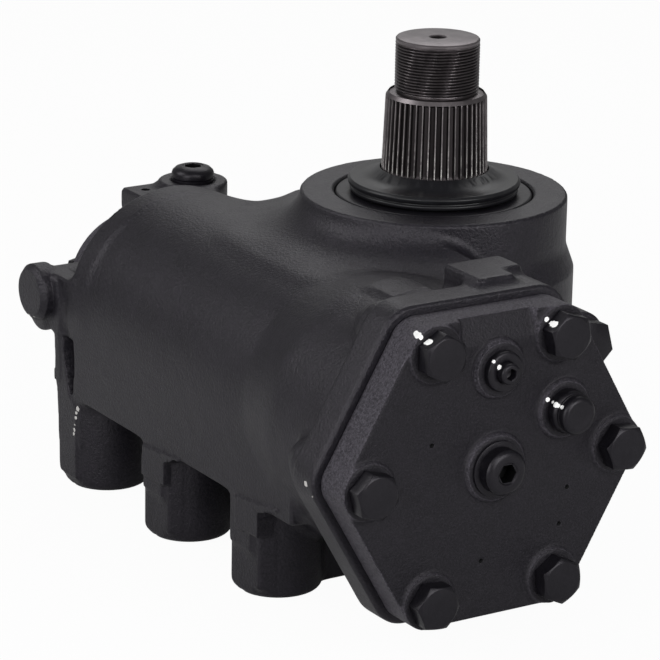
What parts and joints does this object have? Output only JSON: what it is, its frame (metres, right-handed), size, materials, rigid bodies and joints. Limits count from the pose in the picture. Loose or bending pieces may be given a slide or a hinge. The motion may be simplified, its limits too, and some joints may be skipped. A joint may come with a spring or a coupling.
{
  "type": "power steering gear",
  "caption": "Heavy-duty recirculating-ball power steering gear: cylinder housing with bolted end cover, mounting feet and an upright splined output shaft driven through rack and sector teeth.",
  "frame": {"origin": "where the axis of the output shaft meets the mounting plane under the five feet", "axes": "+X along the cylinder from the steering input towards the end cover, +Z along the output shaft towards its thread, +Y away from the cylinder, so the cylinder axis lies at Y -92 mm, Z 110 mm"},
  "size_m": [0.46, 0.2796, 0.2992],
  "materials": {
    "black_paint": "semi-gloss black paint on a sand casting",
    "painted_steel": "semi-gloss black paint over steel",
    "dark_steel": "dark phosphated and machined alloy steel",
    "bright_steel": "ground and hardened steel",
    "piston_iron": "machined ductile iron",
    "seal_rubber": "satin moulded rubber",
    "ring_plastic": "filled low-friction plastic"
  },
  "bodies": {
    "gear_case": {"housing": "black_paint", "end_cover": "black_paint", "end_cover_seal": "seal_rubber", "end_cover_bolts": "painted_steel", "centre_plug": "painted_steel", "centre_plug_washer": "painted_steel", "limiter_screw": "painted_steel", "limiter_lock_ring": "painted_steel", "relief_valve": "painted_steel", "relief_valve_cap": "painted_steel", "blanking_plug": "painted_steel", "port_plug": "painted_steel", "seal_carrier": "painted_steel", "sector_shaft_seal": "seal_rubber", "upper_bearing_race": "bright_steel", "upper_bearing_rollers": "bright_steel", "lower_bearing_race": "bright_steel", "lower_bearing_rollers": "bright_steel", "side_cover": "black_paint", "side_cover_seal": "seal_rubber", "side_cover_bolts": "painted_steel", "lash_screw": "painted_steel", "lash_lock_nut": "painted_steel", "worm_bearing_outer": "bright_steel", "bearing_retaining_ring": "bright_steel", "input_cover": "black_paint", "input_cover_bolts": "painted_steel", "input_cover_seal": "seal_rubber", "input_bearing_cup": "bright_steel", "input_bearing_needles": "bright_steel", "input_shaft_seal": "seal_rubber", "input_dust_cap": "seal_rubber"},
    "piston": {"piston": "piston_iron", "piston_ring": "ring_plastic", "ball_return_guide": "bright_steel", "return_guide_screws": "bright_steel", "recirculating_balls": "bright_steel"},
    "output_shaft": {"sector_shaft": "dark_steel", "dust_seal": "seal_rubber", "lash_retainer": "bright_steel"},
    "worm": {"worm": "bright_steel", "worm_bearing_inner": "bright_steel", "worm_bearing_balls": "bright_steel", "valve_sleeve": "bright_steel", "sleeve_drive_pin": "bright_steel", "sleeve_seal_rings": "ring_plastic"},
    "input": {"input_shaft": "dark_steel", "input_end_pin": "bright_steel", "torsion_bar": "bright_steel"}
  },
  "joints": [
    {"name": "piston_travel", "type": "slide", "parent": "gear_case", "child": "piston", "axis": [1, 0, 0], "range_m": [-0.03927, 0.03927]},
    {"name": "output_turn", "type": "hinge", "parent": "gear_case", "child": "output_shaft", "pos_m": [0, 0, 0.11], "axis": [0, 0, 1], "range_deg": [-45.5, 45.5]},
    {"name": "worm_turn", "type": "hinge", "parent": "gear_case", "child": "worm", "pos_m": [0, -0.092, 0.11], "axis": [1, 0, 0], "range_deg": [-1015, 1015]},
    {"name": "valve_twist", "type": "hinge", "parent": "worm", "child": "input", "pos_m": [0, -0.092, 0.11], "axis": [1, 0, 0], "range_deg": [-6, 6], "stiffness_Nm_per_rad": 20}
  ],
  "couplings": [
    {"joint": "output_turn", "follows": "piston_travel", "rad_per_m": 20},
    {"joint": "worm_turn", "follows": "piston_travel", "rad_per_m": -448.8}
  ]
}
